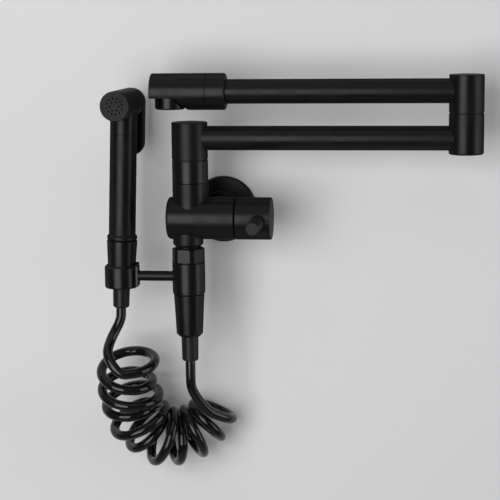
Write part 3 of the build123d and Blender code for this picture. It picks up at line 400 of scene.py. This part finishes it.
# Turned pieces whose coat lies smoother and shows sharper lights.
smooth_coated = (
    "riser_collar",
    "holder_nut",
    "holder_tee",
    "holder_cup",
    "valve_hose_nut",
    "sprayer_hose_nut",
    "aerator_housing",
)


class FAUCET_OT_coated_metal(bpy.types.Operator):
    """Satin black sprayed coat on the flange, body, arms, holder, nuts and sprayer"""

    bl_idname = "faucet.coated_metal"
    bl_label = "Coated metal"

    def execute(self, context):
        finishes = context.scene.faucet_finishes
        middle = finishes.coat_roughness
        coat = coated_or_moulded(
            "satin_black_coat",
            (tuple(finishes.coat), tuple(finishes.coat_rub)),
            (middle - 0.04, middle + 0.05),
            grain=1100.0,
            depth=0.000012,
            marks=38.0,
            specular=0.165,
            glancing=0.64,
        )
        smooth = coated_or_moulded(
            "smooth_black_coat",
            (scaled(finishes.coat, 0.8), scaled(finishes.coat_rub, 0.8)),
            (middle - 0.11, middle - 0.06),
            grain=1100.0,
            depth=0.000006,
            marks=50.0,
            specular=0.195,
            glancing=0.64,
        )
        dress(coat, nodes_of_slot["black_coat"])
        dress(smooth, smooth_coated)
        return {"FINISHED"}


class FAUCET_OT_mouldings(bpy.types.Operator):
    """Plastic of the lever, the hose sleeves, the nozzle plates and the white inner pieces"""

    bl_idname = "faucet.mouldings"
    bl_label = "Plastic mouldings"

    def execute(self, context):
        finishes = context.scene.faucet_finishes
        black = tuple(finishes.moulding)
        sleeve = coated_or_moulded(
            "black_moulding",
            (black, scaled(black, 1.5)),
            (0.30, 0.36),
            grain=1500.0,
            depth=0.00001,
            marks=60.0,
            specular=0.19,
            glancing=0.6,
        )
        dress(sleeve, nodes_of_slot["black_plastic"])
        grey = tuple(finishes.nozzle_plate)
        plate = coated_or_moulded(
            "nozzle_plate",
            (grey, scaled(grey, 1.25)),
            (0.50, 0.62),
            grain=1800.0,
            depth=0.00002,
            marks=80.0,
            specular=0.12,
        )
        dress(plate, nodes_of_slot["grey_plastic"])
        white = tuple(finishes.pale_moulding)
        inner = coated_or_moulded(
            "pale_moulding",
            (scaled(white, 0.92), white),
            (0.40, 0.52),
            grain=1200.0,
            depth=0.00001,
            marks=60.0,
        )
        dress(inner, nodes_of_slot["pale_plastic"])
        return {"FINISHED"}


class FAUCET_OT_seals_and_discs(bpy.types.Operator):
    """Rubber seals and washers, and the lapped ceramic discs of the valve"""

    bl_idname = "faucet.seals_and_discs"
    bl_label = "Seals and discs"

    def execute(self, context):
        finishes = context.scene.faucet_finishes
        dark = tuple(finishes.rubber)
        rubber = coated_or_moulded(
            "seal_rubber",
            (dark, scaled(dark, 1.6)),
            (0.68, 0.82),
            grain=1400.0,
            depth=0.00003,
            marks=120.0,
        )
        dress(rubber, nodes_of_slot["rubber"])
        pale = tuple(finishes.ceramic)
        ceramic = coated_or_moulded(
            "lapped_ceramic",
            (scaled(pale, 0.95), pale),
            (0.10, 0.18),
            grain=2600.0,
            depth=0.000003,
            marks=90.0,
        )
        dress(ceramic, nodes_of_slot["ceramic"])
        return {"FINISHED"}


def turning_axis(name):
    """Name of the axis that a turned piece lies along: the one whose size differs most from the others."""
    low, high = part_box(name)
    size = high - low
    middle = sorted(size)[1]
    return max(zip((abs(side - middle) for side in size), "xyz"))[1]


class FAUCET_OT_bare_metal(bpy.types.Operator):
    """Turned brass and steel, with tool rings round each piece's own axis"""

    bl_idname = "faucet.bare_metal"
    bl_label = "Bare metal"

    def execute(self, context):
        finishes = context.scene.faucet_finishes
        for slot, tint, roughness in (
            ("brass", tuple(finishes.brass), (0.22, 0.34)),
            ("steel", tuple(finishes.steel), (0.24, 0.36)),
        ):
            for axis_name, axis in (("x", (1, 0, 0)), ("y", (0, 1, 0)), ("z", (0, 0, 1))):
                turned = [name for name in nodes_of_slot[slot] if turning_axis(name) == axis_name]
                if turned:
                    dress(machined(f"turned_{slot}_{axis_name}", tint, axis, roughness), turned)
        # The cartridge nut is brass; its near-black tone is painted shade for the seam between the body and
        # the knob.
        blackened = machined("brass_with_painted_gap_shade", tuple(finishes.blackened), (1, 0, 0), (0.40, 0.52))
        dress(blackened, ["cartridge_nut"])
        return {"FINISHED"}


def threaded_nipple(inlet):
    """Closed mesh of the inlet: two threads on a tube, a plain neck between and a seat for the filter."""
    low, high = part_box("inlet_nipple")
    seat_low, seat_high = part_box("inlet_filter")
    middle = (low + high) / 2
    crest = (high.x - low.x) / 2
    root = crest - inlet.depth
    seat = (seat_high.x - seat_low.x) / 2
    bore = inlet.bore / 2
    threads = ((low.y, -inlet.undercut_front - inlet.undercut), (-inlet.undercut_front, high.y))
    sides = 72
    per_pitch = 12

    def ridge(y, turned):
        room = max(min(y - start, end - y) for start, end in threads)
        height = inlet.depth * min(max(room / inlet.pitch, 0), 1)
        return root + height * (0.5 + 0.5 * cos(2 * pi * y / inlet.pitch + turned))

    steps = round((high.y - low.y) / inlet.pitch * per_pitch)
    profile = [(low.y, lambda y, turned: bore)]
    for step in range(steps + 1):
        profile.append((low.y + (high.y - low.y) * step / steps, ridge))
    profile += [
        (high.y, lambda y, turned: seat),
        (seat_low.y, lambda y, turned: seat),
        (seat_low.y, lambda y, turned: bore),
    ]
    shape = bmesh.new()
    rings = []
    for y, radius in profile:
        ring = []
        for side in range(sides):
            turned = 2 * pi * side / sides
            reach = radius(y, turned)
            ring.append(shape.verts.new((middle.x + reach * cos(turned), y, middle.z + reach * sin(turned))))
        rings.append(ring)
    for ring, following in zip(rings, rings[1:] + rings[:1]):
        for side in range(sides):
            nearby = (side + 1) % sides
            shape.faces.new((ring[side], following[side], following[nearby], ring[nearby]))
    bmesh.ops.recalc_face_normals(shape, faces=shape.faces)
    mesh = bpy.data.meshes.new("threaded_inlet")
    shape.to_mesh(mesh)
    shape.free()
    mesh.shade_smooth()
    mesh.set_sharp_from_angle(angle=radians(60))
    return mesh


class FAUCET_OT_inlet_thread(bpy.types.Operator):
    """Brass inlet with its two rounded pipe threads, one for the wall and one for the body"""

    bl_idname = "faucet.inlet_thread"
    bl_label = "Inlet thread"

    def execute(self, context):
        piece = bpy.data.objects.new("threaded_inlet", threaded_nipple(context.scene.faucet_inlet))
        piece.data.materials.append(bpy.data.materials["turned_brass_y"])
        context.scene.collection.objects.link(piece)
        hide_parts("inlet_nipple")
        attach(piece, "wall_unit")
        return {"FINISHED"}


class FAUCET_OT_valve_spring(bpy.types.Operator):
    """Steel spring behind the sprayer's plunger, as a piece of its own on the sprayer"""

    bl_idname = "faucet.valve_spring"
    bl_label = "Valve spring"

    def execute(self, context):
        spring = frame["nodes"]["plunger_spring"]
        piece = bpy.data.objects.new("valve_spring", spring.data.copy())
        context.scene.collection.objects.link(piece)
        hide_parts("plunger_spring")
        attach(piece, "sprayer")
        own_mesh(piece)
        return {"FINISHED"}


# Coiled hose

# Points of the hose's free ends between the coil and its sleeves, in metres.
valve_lead = ((-0.0219, -0.0580, -0.1330), (-0.0219, -0.0580, -0.1468), (-0.0093, -0.0465, -0.1684))
sprayer_lead = (
    (-0.0775, -0.0839, -0.1285),
    (-0.0893, -0.0799, -0.1133),
    (-0.0883, -0.0645, -0.1023),
    (-0.0804, -0.0580, -0.0873),
    (-0.0801, -0.0580, -0.0782),
)


def hose_route(hose):
    """Control points of the hose's line, from inside the valve's sleeve round the coil to the sprayer's."""
    guides = [
        Vector(spot)
        for spot in (
            hose.coil_start, hose.left_drop, hose.left_pull, hose.bottom_pull, hose.right_rise, hose.coil_end
        )
    ]
    inside = 0.75 * hose.diameter
    span = 2 * pi * hose.turns
    small_part = 1e-4

    def axis(part):
        spots = guides
        while len(spots) > 1:
            spots = [spot + (following - spot) * part for spot, following in zip(spots, spots[1:])]
        return spots[0]

    def wound(turned):
        part = turned / span
        way = (axis(part + small_part) - axis(part - small_part)).normalized()
        outward = Vector((0, 1, 0)).cross(way).normalized()
        forward = outward.cross(way)
        outward = outward * cos(hose.lag) - way * sin(hose.lag)
        radius = hose.first_radius + (hose.last_radius - hose.first_radius) * part
        radius += hose.alternate * sin(pi * min(part, 1)) * sin(turned / 2)
        radius /= cos(pi / hose.points)
        return axis(part) + outward * (radius * cos(turned)) + forward * (radius * sin(turned))

    first, last = hose.join, span + hose.leave
    steps = round((last - first) / (2 * pi) * hose.points)
    coil = [wound(last + (first - last) * step / steps) for step in range(steps + 1)]
    in_valve = Vector(hose.valve_exit) + Vector((0, 0, inside))
    in_sprayer = Vector(hose.sprayer_exit) + Vector(hose.sprayer_way).normalized() * inside
    return [in_valve, *valve_lead, *coil, *sprayer_lead, in_sprayer]


def smooth_line(name, route, resolution):
    """Points along the NURBS line that has the route's points as its control points."""
    line = bpy.data.curves.new(name, "CURVE")
    line.dimensions = "3D"
    line.resolution_u = resolution
    spline = line.splines.new("NURBS")
    spline.points.add(len(route) - 1)
    for point, spot in zip(spline.points, route):
        point.co = (*spot, 1.0)
    spline.order_u = 3
    spline.use_endpoint_u = True
    carrier = bpy.data.objects.new(name, line)
    bpy.context.scene.collection.objects.link(carrier)
    bpy.context.view_layer.update()
    mesh = bpy.data.meshes.new_from_object(carrier)
    points = [vertex.co.copy() for vertex in mesh.vertices]
    bpy.data.meshes.remove(mesh)
    bpy.data.objects.remove(carrier)
    bpy.data.curves.remove(line)
    return points


def tube(name, line, radius, sides):
    """A closed mesh tube along a line of points, with rings that don't twist."""
    shape = bmesh.new()
    rings = []
    side = None
    for index, point in enumerate(line):
        before = line[max(index - 1, 0)]
        after = line[min(index + 1, len(line) - 1)]
        way = (after - before).normalized()
        side = way.orthogonal() if side is None else side - way * side.dot(way)
        side.normalize()
        other = way.cross(side)
        ring = []
        for step in range(sides):
            turned = 2 * pi * step / sides
            spot = point + side * (radius * cos(turned)) + other * (radius * sin(turned))
            ring.append(shape.verts.new(spot))
        rings.append(ring)
    for ring, following in zip(rings, rings[1:]):
        for step in range(sides):
            nearby = (step + 1) % sides
            shape.faces.new((ring[step], ring[nearby], following[nearby], following[step]))
    shape.faces.new(list(reversed(rings[0])))
    shape.faces.new(rings[-1])
    mesh = bpy.data.meshes.new(name)
    shape.to_mesh(mesh)
    shape.free()
    for face in mesh.polygons:
        face.use_smooth = len(face.vertices) == 4
    return mesh


class FAUCET_OT_coiled_hose(bpy.types.Operator):
    """One length of glossy hose from the valve, round ten loose turns, to the sprayer"""

    bl_idname = "faucet.coiled_hose"
    bl_label = "Coiled hose"

    def execute(self, context):
        hose = context.scene.faucet_hose
        black = tuple(context.scene.faucet_finishes.hose)
        line = smooth_line("hose_line", hose_route(hose), resolution=4)
        if len(line) < 12 * hose.turns:
            raise RuntimeError("the hose's line has too few points")
        piece = bpy.data.objects.new("coiled_hose", tube("coiled_hose", line, hose.diameter / 2, sides=16))
        context.scene.collection.objects.link(piece)
        gloss = coated_or_moulded(
            "gloss_black_hose",
            (black, scaled(black, 1.6)),
            (0.07, 0.11),
            grain=700.0,
            depth=0.000004,
            marks=70.0,
            specular=0.27,
        )
        piece.data.materials.append(gloss)
        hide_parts(*nodes_of_slot["hose"])
        # The line runs on inside each sleeve for three quarters of a diameter.
        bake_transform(piece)
        return {"FINISHED"}


# Stage

def stage_plane(name, corners, material):
    """A flat stage piece through the corners, seen from the side that they run anticlockwise on."""
    mesh = bpy.data.meshes.new(name)
    mesh.from_pydata(corners, [], [(0, 1, 2, 3)])
    plane = bpy.data.objects.new(name, mesh)
    mesh.materials.append(material)
    bpy.context.scene.collection.objects.link(plane)


def stage_material(name, tint):
    """Matt paint that is only there from the front."""
    material, shader = new_material(name, metallic=0.0, specular=0.2)
    tree = material.node_tree
    shader.inputs["Roughness"].default_value = 0.9
    where = tree.nodes.new("ShaderNodeTexCoord").outputs["Object"]
    speck = noise(tree, where, scale=30.0, detail=3.0)
    two_tone(material, shader, speck, scaled(tint, 0.985), tint)
    clear = tree.nodes.new("ShaderNodeBsdfTransparent")
    mix = tree.nodes.new("ShaderNodeMixShader")
    tree.links.new(tree.nodes.new("ShaderNodeNewGeometry").outputs["Backfacing"], mix.inputs["Fac"])
    tree.links.new(shader.outputs["BSDF"], mix.inputs[1])
    tree.links.new(clear.outputs["BSDF"], mix.inputs[2])
    tree.links.new(mix.outputs["Shader"], tree.nodes["Material Output"].inputs["Surface"])
    return material


def soft_light(name, size, watts, spot, target):
    """A soft rectangular light that faces a point and isn't seen itself."""
    data = bpy.data.lights.new(name, "AREA")
    data.shape = "RECTANGLE"
    data.size, data.size_y = size
    data.energy = watts
    light = bpy.data.objects.new(name, data)
    light.location = spot
    light.rotation_euler = (Vector(target) - Vector(spot)).to_track_quat("-Z", "Y").to_euler()
    light.visible_camera = False
    bpy.context.scene.collection.objects.link(light)


class FAUCET_OT_stage(bpy.types.Operator):
    """Pale wall and floor, three soft lights, the room and the camera"""

    bl_idname = "faucet.stage"
    bl_label = "Stage"

    def execute(self, context):
        scene = context.scene
        stage = scene.faucet_stage
        wall = stage_material("wall_paint", tuple(stage.wall))
        floor = stage_material("floor_paint", tuple(stage.floor))
        right, top, level = stage.half_width, stage.wall_top, stage.floor_level
        back, front = stage.wall_gap, stage.floor_front
        stage_plane(
            "wall_backdrop",
            [(-right, back, level), (right, back, level), (right, back, top), (-right, back, top)],
            wall,
        )
        stage_plane(
            "floor",
            [(-right, front, level), (right, front, level), (right, 0, level), (-right, 0, level)],
            floor,
        )
        soft_light("key_light", (1.0, 1.1), stage.key_power, stage.key_place, stage.target)
        soft_light("top_light", (1.6, 0.9), stage.top_power, stage.top_place, stage.target)
        soft_light("side_light", (0.75, 1.2), stage.side_power, stage.side_place, stage.target)

        world = bpy.data.worlds.new("room")
        world.use_nodes = True
        scene.world = world
        tree = world.node_tree
        lit = tree.nodes["Background"]
        lit.inputs["Color"].default_value = (1, 1, 1, 1)
        lit.inputs["Strength"].default_value = stage.fill
        seen = tree.nodes.new("ShaderNodeBackground")
        seen.inputs["Color"].default_value = (1, 1, 1, 1)
        seen.inputs["Strength"].default_value = stage.surround
        rays = tree.nodes.new("ShaderNodeLightPath")
        shown = math(tree, "MAXIMUM", rays.outputs["Is Camera Ray"], rays.outputs["Is Glossy Ray"])
        shown = math(tree, "MAXIMUM", shown, rays.outputs["Is Transmission Ray"])
        mix = tree.nodes.new("ShaderNodeMixShader")
        tree.links.new(shown, mix.inputs["Fac"])
        tree.links.new(lit.outputs["Background"], mix.inputs[1])
        tree.links.new(seen.outputs["Background"], mix.inputs[2])
        tree.links.new(mix.outputs["Shader"], tree.nodes["World Output"].inputs["Surface"])
        scene.view_settings.view_transform = "Standard"

        data = bpy.data.cameras.new("photo_camera")
        data.sensor_width = 36.0
        data.lens = stage.lens
        data.clip_start, data.clip_end = 0.01, 20.0
        camera = bpy.data.objects.new("photo_camera", data)
        turn = Matrix.Rotation(stage.yaw, 4, "Z") @ Matrix.Rotation(pi / 2 - stage.pitch, 4, "X")
        camera.matrix_world = (
            Matrix.Translation(stage.camera) @ turn @ Matrix.Rotation(stage.roll, 4, "Z")
        )
        scene.collection.objects.link(camera)
        scene.camera = camera
        return {"FINISHED"}


class FAUCET_PT_pieces(bpy.types.Panel):
    """The faucet's finishes and pieces, one button each"""

    bl_label = "Faucet"
    bl_idname = "FAUCET_PT_pieces"
    bl_space_type = "VIEW_3D"
    bl_region_type = "UI"
    bl_category = "Faucet"

    def draw(self, context):
        for operator in operators:
            self.layout.operator(operator.bl_idname)


groups = {
    "faucet_finishes": FaucetFinishes,
    "faucet_hose": FaucetHose,
    "faucet_inlet": FaucetInlet,
    "faucet_stage": FaucetStage,
}
operators = (
    FAUCET_OT_stage,
    FAUCET_OT_coated_metal,
    FAUCET_OT_mouldings,
    FAUCET_OT_seals_and_discs,
    FAUCET_OT_bare_metal,
    FAUCET_OT_inlet_thread,
    FAUCET_OT_valve_spring,
    FAUCET_OT_coiled_hose,
)


def register():
    for group in groups.values():
        bpy.utils.register_class(group)
    for name, group in groups.items():
        setattr(bpy.types.Scene, name, PointerProperty(type=group))
    for operator in operators:
        bpy.utils.register_class(operator)
    bpy.utils.register_class(FAUCET_PT_pieces)


def unregister():
    bpy.utils.unregister_class(FAUCET_PT_pieces)
    for operator in reversed(operators):
        bpy.utils.unregister_class(operator)
    for name in groups:
        delattr(bpy.types.Scene, name)
    for group in groups.values():
        bpy.utils.unregister_class(group)


def main():
    register()
    bpy.ops.faucet.stage()
    bpy.ops.faucet.coated_metal()
    bpy.ops.faucet.mouldings()
    bpy.ops.faucet.seals_and_discs()
    bpy.ops.faucet.bare_metal()
    bpy.ops.faucet.inlet_thread()
    bpy.ops.faucet.valve_spring()
    bpy.ops.faucet.coiled_hose()


if __name__ == "__main__":
    main()
